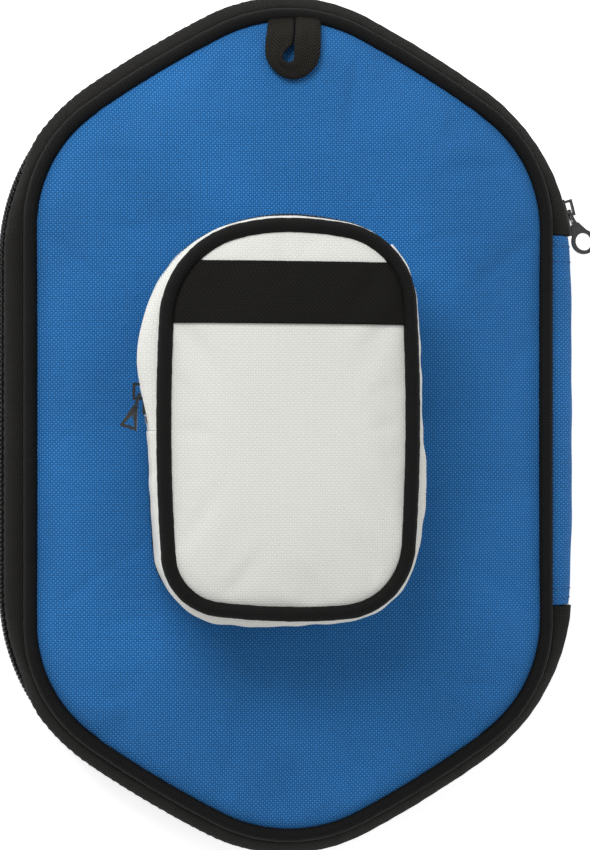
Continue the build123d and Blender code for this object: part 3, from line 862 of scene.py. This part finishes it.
# ------------------------------------------------------------------ the main shell
@dataclass(frozen=True)
class Half:
    """One half of the case: its padded panel, piping, side band, zip tape and coil.

    The last four fields are heights in mm above the zip's mid-plane.
    """

    side: str
    body: str
    sign: float
    panel: str
    coil_phase: float
    seam: float = 15.4
    inside: float = 15.5
    crown: float = 23.6
    piping: float = 16.0

    def z(self, height: float) -> float:
        """The row's z of a height above the zip's mid-plane, towards this half's panel."""
        return MID_Z + self.sign * height

    def span(self, count: int) -> Array:
        """Arc lengths from the spine's top end round to its bottom end."""
        return np.linspace(SPINE_HIGH + 0.5, CASE.length + SPINE_LOW - 0.5, count)

    def build(self) -> None:
        """Builds and dresses every piece of the half."""
        self.build_panel()
        self.build_piping()
        self.build_band()
        self.build_zip()
        for node, finish in ((f"{self.side}_seam_binding", BLACK_BINDING), (f"{self.side}_piping_cord", CORE),
                             (f"{self.side}_zip_stop", STEEL), (f"{self.panel}_lining", LINING)):
            dress_node(node, finish)

    def build_panel(self) -> None:
        """The crowned padded panel; the front one is sewn down under the pocket."""
        outer = self.z(self.crown) if self.sign > 0 else 0.0
        sewn = POCKET.grown(1.0) if self.sign > 0 else None
        pad = Pad(f"{self.panel}_panel_pad", PIPE.grown(-1.2), cells=(84, 134), seam_z=self.z(self.seam),
                  outer_z=outer, inner_z=self.z(self.inside), reach=6.0, pressure=4.0,
                  cap=2.2 if self.sign > 0 else 1.2)
        place(pad.build(sewn), self.body, BLUE_CLOTH, "blue_fabric", f"{self.panel}_panel_fabric",
              f"{self.panel}_foam_pad")

    def build_piping(self) -> None:
        """The fabric cover of the piping: a tube whose radius swells and pinches a little."""
        s = np.linspace(0, PIPE.length, 900, endpoint=False)
        radius = PIPING_RADIUS + ripple(s, PIPE.length, 3 + int(self.sign), (61, 97, 143, 211), 0.10)
        cover = cord_round(f"{self.side}_piping", PIPE, self.z(self.piping), len(s), radius)
        place(cover, self.body, BLACK_BINDING, "black_fabric", f"{self.side}_piping_cover")

    @staticmethod
    def cover(s: Array) -> Array:
        """How far the band's hem reaches out over the zip at arc lengths s, in mm: not at all on the left side."""
        _, normal = CASE.at(s)
        left = np.clip((-normal[:, 0] - 0.80) / 0.15, 0.0, 1.0)
        return 2.1 * (1 - left * left * (3 - 2 * left))

    def build_band(self) -> None:
        """The black side band: from the piping's outer side it bulges out to the zip tape's edge, with a topstitch."""
        line = smooth([(0.0, 1.6, 14.9), (0.25, 1.2, 14.1), (0.55, 0.0, 12.4), (0.85, -1.4, 9.9), (1.0, -2.1, 7.6),
                       (1.0, -2.15, 4.6)], 18)
        inner = line[::-1] + np.array([0.0, -0.85, 0.0])
        profile = np.vstack([line, inner])
        profile[:, 2] = MID_Z + self.sign * profile[:, 2]
        s = self.span(760)
        wave = ripple(s, CASE.length, 11 + int(self.sign), (29, 47, 83, 131), 0.3)[:, None]
        wave = wave * np.sin(np.pi * there_and_back(18))
        wave = wave + self.cover(s)[:, None] * profile[:, 0] ** 2
        band = carried(f"{self.side}_side_band", CASE, PIPE, profile, s, False, wave)
        place(band, self.body, BLACK_BAND, "black_fabric", f"{self.side}_gusset")
        rim, normal = CASE.at(s)
        path = raised(rim + (self.cover(s) - 2.08)[:, None] * normal, self.z(5.6))
        row = stitches(f"{self.side}_band_stitches", path, raised(normal, 0.0), length=2.5, gap=0.7, radius=0.2)
        place(row, self.body, THREAD_BLACK, "black_fabric")

    def build_zip(self) -> None:
        """The zip's tape and coil on this half."""
        h = np.linspace(0.6, 9.4, 9)
        line = np.stack([np.ones(9), -1.25 - 1.9 * np.clip((h - 1.2) / 3.0, 0, 1), self.z(0) + self.sign * h], -1)
        inner = line[::-1] + np.array([0.0, -0.5, 0.0])
        tape = carried(f"{self.side}_zip_tape_strip", CASE, PIPE, np.vstack([line, inner]), self.span(600), False)
        place(tape, self.body, ZIP_TAPE, "zip_tape", f"{self.side}_zip_tape")
        coil = Coil(f"{self.side}_coil", CASE, self.z(1.35), half_width=1.62, depth=1.7, pitch=1.62, wire=0.36,
                    phase=self.coil_phase)
        span = self.span(2)
        place(coil.build(span[0], span[1] - 2.4), self.body, COIL_NYLON, "zip_coil", f"{self.side}_zip_coil")


def dress_node(node: str, finish: Weave | Chevron | Hard) -> None:
    """Gives a CAD node a finish; one that reads a UV map gets flat coordinates from its own mesh."""
    obj = frame["nodes"][node]
    mesh = obj.data
    if isinstance(finish, Weave) and "UVMap" not in mesh.uv_layers:
        layer = mesh.uv_layers.new(name="UVMap")
        index = np.empty(len(mesh.loops), int)
        mesh.loops.foreach_get("vertex_index", index)
        layer.data.foreach_set("uv", coords(mesh)[index, :2].astype(np.float32).ravel())
    FINISHES.give(obj, finish)


@dataclass(frozen=True)
class Spine:
    """The blue cloth strip on the right, sewn to both pipings, that the case opens about.

    The bend holds two heights in metres; nothing reads it.
    """

    stitch_rows: tuple[float, ...] = (63.0, 57.6, -57.6, -60.8)
    bend: ClassVar[tuple[float, float]] = (0.016, 0.024)

    @staticmethod
    def bow(s: Array) -> Array:
        """How far the strip's middle lies out of its line at arc lengths s, in mm: its ends are drawn in."""
        return ripple(s, 260.0, 21, (3, 7, 13), 0.3) - 1.2 * np.abs((s - 1.6) / 64.8) ** 3

    def line(self) -> Array:
        """Its outer line as (share, outward, z) rows, from the rear piping to the front one."""
        half = [(0.0, 2.3, 5.9), (0.35, 2.0, 7.0), (0.72, 1.2, 9.0), (0.96, 0.35, 12.0), (1.0, 0.1, 16.0)]
        other = [(share, out, 2 * MID_Z - z) for share, out, z in half[::-1]]
        return smooth(half + [(1.0, 0.15, MID_Z)] + other, 40)

    def build(self) -> None:
        """Builds the strip and its two hems' stitch rows, and bakes each one's placement into its mesh."""
        line = self.line()
        inner = line[::-1] + np.array([0.0, -1.15, 0.0])
        s = np.linspace(SPINE_LOW, SPINE_HIGH, 150)
        wave = self.bow(s)[:, None] * np.sin(np.pi * there_and_back(40))
        strip = carried("spine_strip", CASE, PIPE, np.vstack([line, inner]), s, False, wave)
        place(strip, "", BLUE_CLOTH, "blue_fabric", "spine_rear_strip", "spine_front_strip")
        self.join(strip)
        for index, y in enumerate(self.stitch_rows):
            rim, normal = CASE.at(np.full(len(line), y))
            foot = PIPE.nearest(rim)
            share, out, z = line.T
            lift = out + self.bow(np.array([y])) * np.sin(np.pi * np.linspace(0, 1, len(line))) + 0.1
            xy = foot * (1 - share)[:, None] + rim * share[:, None] + normal * lift[:, None]
            path = np.concatenate([xy, z[:, None]], -1)
            row = stitches(f"spine_stitches_{index}", path, raised(normal, 0.0), length=2.4, gap=0.8,
                           radius=0.22)
            place(row, "", THREAD_BLUE, "blue_fabric")
            self.join(row)

    @staticmethod
    def join(obj: bpy.types.Object) -> None:
        """Bakes a piece's placement into its mesh."""
        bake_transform(obj)


@dataclass(frozen=True)
class HangingLoop:
    """A folded strip of webbing: two legs side by side that turn round a drop-shaped eye."""

    thickness: float = 1.5

    def build(self) -> None:
        """Builds the ribbon between its inner and outer edge, each a smooth curve, with rounded selvedges.

        A point is the inner edge's plus a share of the way to the outer edge's, raised by half a sine across.
        """
        inner = smooth([(1.5, 141.8, 36.4), (1.3, 139.2, 39.0), (0.8, 135.4, 42.6), (0.1, 131.8, 44.3),
                        (-1.8, 130.2, 45.5), (-3.6, 128.4, 46.5), (-4.1, 126.6, 47.2), (-3.0, 125.1, 47.6),
                        (-1.1, 124.9, 47.7), (0.1, 126.3, 47.3), (0.3, 129.0, 46.5), (0.4, 132.0, 45.4),
                        (0.9, 135.6, 43.6), (1.3, 139.2, 40.4), (1.6, 141.8, 37.0)], 110)
        outer = smooth([(-7.6, 141.6, 36.2), (-8.2, 138.8, 38.9), (-9.0, 134.6, 42.2), (-9.6, 130.4, 43.8),
                        (-9.3, 126.6, 44.6), (-7.4, 123.0, 45.2), (-4.4, 120.4, 45.5), (-0.4, 119.1, 45.6),
                        (3.4, 119.9, 45.6), (6.6, 122.2, 45.6), (8.9, 126.0, 45.3), (9.6, 130.4, 44.6),
                        (9.9, 134.8, 42.6), (10.2, 138.8, 39.6), (10.6, 141.6, 36.6)], 110)
        share = np.linspace(0, 1, 13)
        top = inner[:, None] * (1 - share)[None, :, None] + outer[:, None] * share[None, :, None]
        run_u, run_v = np.gradient(top, axis=0), np.gradient(top, axis=1)
        up = np.cross(run_u, run_v)
        up /= np.linalg.norm(up, axis=2, keepdims=True)
        up *= np.sign(up[..., 2:].mean())
        edge = np.sqrt(np.clip(1 - (2 * share - 1) ** 8, 0.05, 1))[None, :, None]
        half = self.thickness / 2
        grid = np.concatenate([top + up * edge * half, (top - up * edge * half)[:, ::-1]], 1)
        width = np.linspace(0, 10.5, 13)
        vs = np.concatenate([width, width[::-1], [0.0]])
        us = np.concatenate([[0.0], np.cumsum(np.linalg.norm(np.diff((inner + outer) / 2, axis=0), axis=1))])
        ribbon = lattice("hanging_loop_webbing", grid, (False, True), us, vs)
        place(ribbon, "hanging_loop", WEBBING, "webbing", "hanging_loop")


# ------------------------------------------------------------------ the pocket
@dataclass(frozen=True)
class Pocket:
    """The raised ball pocket: its piped padded front, side walls, zip and plain black band.

    The side bulges out by as many mm as the bulges say, at sixteen equal steps anticlockwise from the right. The
    bend holds two heights in metres; nothing reads it.
    """

    base_z: float = 44.9
    pipe_z: float = 85.9
    zip_z: float = 72.9
    bend: tuple[float, float] = (0.052, 0.084)
    band_low: float = 33.7
    band_high: float = 54.4
    bulges: tuple[float, ...] = (1.7, 1.3, 1.1, 1.7, 2.2, 1.1, 2.3, 5.8, 2.0, 1.2, 0.3, 2.5, 1.9, 1.3, 1.7, 3.2)

    def bulge(self, s: Array) -> Array:
        """How far the side bulges out at arc lengths s of the pocket's outline, in mm."""
        curve = smooth([(value,) for value in self.bulges], 640, closed=True)[:, 0]
        at = np.linspace(0, POCKET.length, 641)
        return np.interp(np.mod(s, POCKET.length), at, np.append(curve, curve[0]))

    def stretch(self) -> tuple[float, float, float]:
        """Arc lengths where the zip starts (top right), where it ends (middle of the left side), and the loop's."""
        quarter = POCKET.length / 4
        return quarter - 37.0, 2 * quarter + 0.9, POCKET.length

    def build(self) -> None:
        """Builds and dresses every piece of the pocket."""
        self.build_front()
        self.build_label()
        self.build_piping()
        self.build_sides()
        self.build_zip()
        self.build_hidden()
        dress_node("pocket_zip_stop", STEEL)

    def build_hidden(self) -> None:
        """The base, its binding, the front's lining and the piping's cord."""
        base = slab("pocket_base", POCKET.grown(-0.6), self.base_z - 0.8, self.base_z)
        place(base, "front_half", BLACK_BAND, "black_fabric", "pocket_base_fabric")
        z = np.array([-0.7, -0.7, 0.3, 0.3]) + self.base_z
        rows = np.stack([np.ones(4), np.array([-0.5, 0.25, 0.15, -0.5]), z], -1)
        s = np.linspace(0, POCKET.length, 300, endpoint=False)
        binding = carried("pocket_foot_binding", POCKET, POCKET, rows, s, True)
        place(binding, "front_half", BLACK_BINDING, "black_fabric", "pocket_base_binding")
        lining = slab("pocket_lining", POCKET.grown(-5.2), self.pipe_z - 1.6, self.pipe_z - 1.0)
        place(lining, "pocket_front", LINING, "lining", "pocket_front_lining")
        cord = cord_round("pocket_cord", POCKET.grown(-POCKET_PIPING_RADIUS), self.pipe_z, len(s), 1.3, 8)
        place(cord, "pocket_front", CORE, "cord_core", "pocket_piping_cord")

    def build_front(self) -> None:
        """The crowned white front."""
        pad = Pad("pocket_front_pad", POCKET.grown(-3.1), cells=(48, 76), seam_z=self.pipe_z - 0.9,
                  outer_z=self.pipe_z + 3.2, inner_z=self.pipe_z - 1.1, reach=3.4, pressure=4.0, cap=1.6)
        place(pad.build(), "pocket_front", WHITE_CLOTH, "white_fabric", "pocket_front_fabric", "pocket_front_foam")

    def build_label(self) -> None:
        """The plain black band across the front: a thin strip laid on the pad from side to side."""
        edge = POCKET.grown(-4.9)
        s = np.linspace(0, edge.length, 3200)
        points, _ = edge.at(s)
        y = np.linspace(self.band_low, self.band_high, 30)
        right, left = points[points[:, 0] > edge.x], points[points[:, 0] <= edge.x][::-1]
        right, left = right[right[:, 1] > 0], left[left[:, 1] > 0]
        high, low = np.interp(y, right[:, 1], right[:, 0]), np.interp(y, left[:, 1], left[:, 0])
        across = np.linspace(0, 1, 90)[:, None]
        x = low + across * (high - low)
        grid = np.stack([x, y - 0.5 * across, np.full_like(x, self.pipe_z + 12.0)], -1)
        strip = lattice("pocket_plain_band", grid, (False, False), x[:, 15], y)
        wrap = strip.modifiers.new("laid", "SHRINKWRAP")
        wrap.target = bpy.data.objects["pocket_front_pad"]
        wrap.wrap_method = "PROJECT"
        wrap.use_project_z = True
        wrap.use_negative_direction = True
        wrap.use_positive_direction = False
        wrap.offset = 0.00035
        body = strip.modifiers.new("cloth", "SOLIDIFY")
        body.thickness = 0.0004
        body.offset = 1.0
        settle(strip)
        co = coords(strip.data)
        missed = co[:, 2] > (self.pipe_z + 8) * MM
        co[missed, 2] = (self.pipe_z - 1.0) * MM
        set_coords(strip.data, co)
        place(strip, "pocket_front", BLACK_BAND, "black_fabric", "pocket_label_band")

    def build_piping(self) -> None:
        """The pocket's piping."""
        path = POCKET.grown(-POCKET_PIPING_RADIUS)
        s = np.linspace(0, path.length, 520, endpoint=False)
        radius = POCKET_PIPING_RADIUS + ripple(s, path.length, 31, (31, 53, 83, 127), 0.12)
        cover = cord_round("pocket_piping", path, self.pipe_z, len(s), radius)
        place(cover, "pocket_front", BLACK_BINDING, "black_fabric", "pocket_piping_cover")

    def wall(self, name: str, rows: Sequence[Sequence[float]], count: int, s: Array, wave: float, seed: int,
             overhang: bool = False) -> bpy.types.Object:
        """A side wall, with folds that run from seam to seam.

        Args:
            name: the piece's name.
            rows: (outward mm, share of the bulge, z mm) from the foot up.
            count: samples from foot to head.
            s: arc lengths in mm.
            wave: size of the folds in mm.
            seed: the folds' seed.
            overhang: whether it hangs over the zip on the left and leaves it clear at the top.

        Returns:
            The wall.
        """
        line = smooth(rows, count)
        both = np.vstack([line, line[::-1] + np.array([-0.85, 0.0, 0.0])])
        fold = ripple(s, POCKET.length, seed, (9, 17, 29, 43), wave)[:, None] * np.sin(np.pi * there_and_back(count))
        _, normal = POCKET.at(s)
        hang = 0.5 + 0.5 * np.clip(-normal[:, :1], 0.0, 1.0) if overhang else 1.0
        push = self.bulge(s)[:, None] * both[:, 1] * hang + fold
        profile = np.stack([np.ones(len(both)), both[:, 0], both[:, 2]], -1)
        return carried(name, POCKET, POCKET, profile, s, False, push)

    def build_sides(self) -> None:
        """The closed side on the right, bottom and lower left, and the strips below and above the zip."""
        start, end, loop = self.stretch()
        low = [(0.0, 0.0, self.base_z + 0.1), (0.1, 0.35, 50.5), (0.1, 0.7, 58.0), (0.0, 0.95, 65.0),
               (-0.2, 1.0, self.zip_z - 3.9)]
        head = [(-0.2, 1.08, self.zip_z + 3.9), (-0.1, 1.1, self.zip_z + 6.0), (-0.3, 0.85, self.zip_z + 8.8),
                (-0.9, 0.4, self.zip_z + 11.0), (-2.0, 0.0, self.pipe_z - 0.6)]
        closed = self.wall("pocket_side_wall", low[:-1] + head[1:], 44, np.linspace(end, loop + start, 330), 0.5, 41)
        place(closed, "", WHITE_CLOTH, "white_fabric", "pocket_closed_side")
        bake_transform(closed)
        span = np.linspace(start, end, 220)
        rear = self.wall("pocket_rear_strip", low, 30, span, 0.4, 43)
        place(rear, "front_half", WHITE_CLOTH, "white_fabric", "pocket_rear_side_strip")
        front = self.wall("pocket_front_strip", head, 24, span, 0.2, 47, True)
        place(front, "pocket_front", WHITE_CLOTH, "white_fabric", "pocket_front_side_strip")

    def build_zip(self) -> None:
        """The pocket zip's two tapes and two coils."""
        start, end, _ = self.stretch()
        s = np.linspace(start, end, 200)
        for side, sign, body, phase in (("rear", -1.0, "front_half", 0.0), ("front", 1.0, "pocket_front", np.pi)):
            low, high = sorted((self.zip_z + sign * 0.6, self.zip_z + sign * 5.0))
            profile = tape_profile(-1.1, 0.5, low, high)
            tape = carried(f"pocket_{side}_tape", POCKET, POCKET, profile, s, False,
                           self.bulge(s)[:, None] + np.zeros(len(profile)))
            place(tape, body, ZIP_TAPE, "zip_tape", f"pocket_{side}_zip_tape")
            coil = Coil(f"pocket_{side}_coil", POCKET, self.zip_z + sign * 1.1, half_width=1.35, depth=1.4,
                        pitch=1.35, wire=0.3, phase=phase)
            place(coil.build(start, end - 2.6, self.bulge), body, COIL_NYLON, "zip_coil", f"pocket_{side}_zip_coil")


def settle(obj: bpy.types.Object) -> None:
    """Applies an object's modifiers to its mesh."""
    solved = obj.evaluated_get(bpy.context.evaluated_depsgraph_get())
    mesh = bpy.data.meshes.new_from_object(solved)
    obj.modifiers.clear()
    obj.data = mesh


@dataclass(frozen=True)
class Hardware:
    """The sliders and pullers, which keep their CAD shape."""

    nodes: tuple[str, ...] = ("main_slider_body", "main_slider_bail", "main_puller", "pocket_slider_body",
                              "pocket_slider_bail", "pocket_puller")

    def dress(self) -> None:
        """Gives each one its enamel."""
        for node in self.nodes:
            dress_node(node, ENAMEL)


# ------------------------------------------------------------------ studio
@dataclass(frozen=True)
class Studio:
    """The floor, lights and camera."""

    distance: float = 1.10
    turn: float = 6.0
    aim: tuple[float, float, float] = (0.0033, 0.0, 0.020)
    frame_height: float = 0.300

    def build(self) -> None:
        """Builds the whole studio."""
        bpy.context.scene.view_settings.view_transform = "Standard"
        self.build_floor()
        self.build_lights()
        self.build_camera()

    def build_floor(self) -> None:
        """A wide pale floor at the case's lowest point."""
        corners = np.array([[-2, -2, 0], [2, -2, 0], [2, 2, 0], [-2, 2, 0]], float) / MM
        floor = add_object("floor", corners + np.array([0, 0, -0.05]), [[0, 1, 2, 3]])
        g = Graph("pale_floor")
        g.set(Base_Color=g.mix(g.noise(g.objects(), 3.0), rgb(0.93, 0.93, 0.925), rgb(0.96, 0.96, 0.955)))
        g.set(Roughness=0.7, Emission_Color=rgb(1.0, 1.0, 1.0), Emission_Strength=0.6)
        floor.data.materials.append(g.material)

    def build_lights(self) -> None:
        """A key light above the upper left, a weak fill from the right and an even sky."""
        for name, at, size, power in (("key", (-0.42, 0.74, 0.92), 0.7, 10.5), ("fill", (0.8, 0.0, 1.4), 1.0, 2.5)):
            data = bpy.data.lights.new(name, "AREA")
            data.size = size
            data.energy = power
            lamp = bpy.data.objects.new(name, data)
            bpy.context.collection.objects.link(lamp)
            lamp.location = at
            aim_at(lamp, (0.0, 0.0, 0.03))
        world = bpy.data.worlds.new("sky")
        world.use_nodes = True
        world.node_tree.nodes["Background"].inputs[0].default_value = rgb(1.0, 1.0, 1.0)
        world.node_tree.nodes["Background"].inputs[1].default_value = 0.50
        bpy.context.scene.world = world

    def build_camera(self) -> None:
        """The camera, above the case and a little to its left, with +Y up in the picture."""
        data = bpy.data.cameras.new("camera")
        camera = bpy.data.objects.new("camera", data)
        bpy.context.collection.objects.link(camera)
        turn = np.radians(self.turn)
        x, y, z = self.aim
        camera.location = (x - self.distance * np.sin(turn), y, z + self.distance * np.cos(turn))
        camera.rotation_euler = (0.0, -turn, 0.0)
        data.sensor_fit = "VERTICAL"
        data.sensor_height = 24.0
        data.lens = data.sensor_height * self.distance / self.frame_height
        bpy.context.scene.camera = camera


def aim_at(obj: bpy.types.Object, target: tuple[float, float, float]) -> None:
    """Turns an object's -Z towards a point."""
    obj.rotation_euler = (Vector(target) - Vector(obj.location)).to_track_quat("-Z", "Y").to_euler()


def main() -> None:
    """Builds the studio and the case, in order."""
    logging.basicConfig(level=logging.INFO, format="%(message)s")
    Studio().build()
    Half("rear", "rear_half", -1.0, "back", 0.0).build()
    Half("front", "front_half", 1.0, "front", np.pi).build()
    Spine().build()
    HangingLoop().build()
    Pocket().build()
    Hardware().dress()


if __name__ == "__main__":
    main()
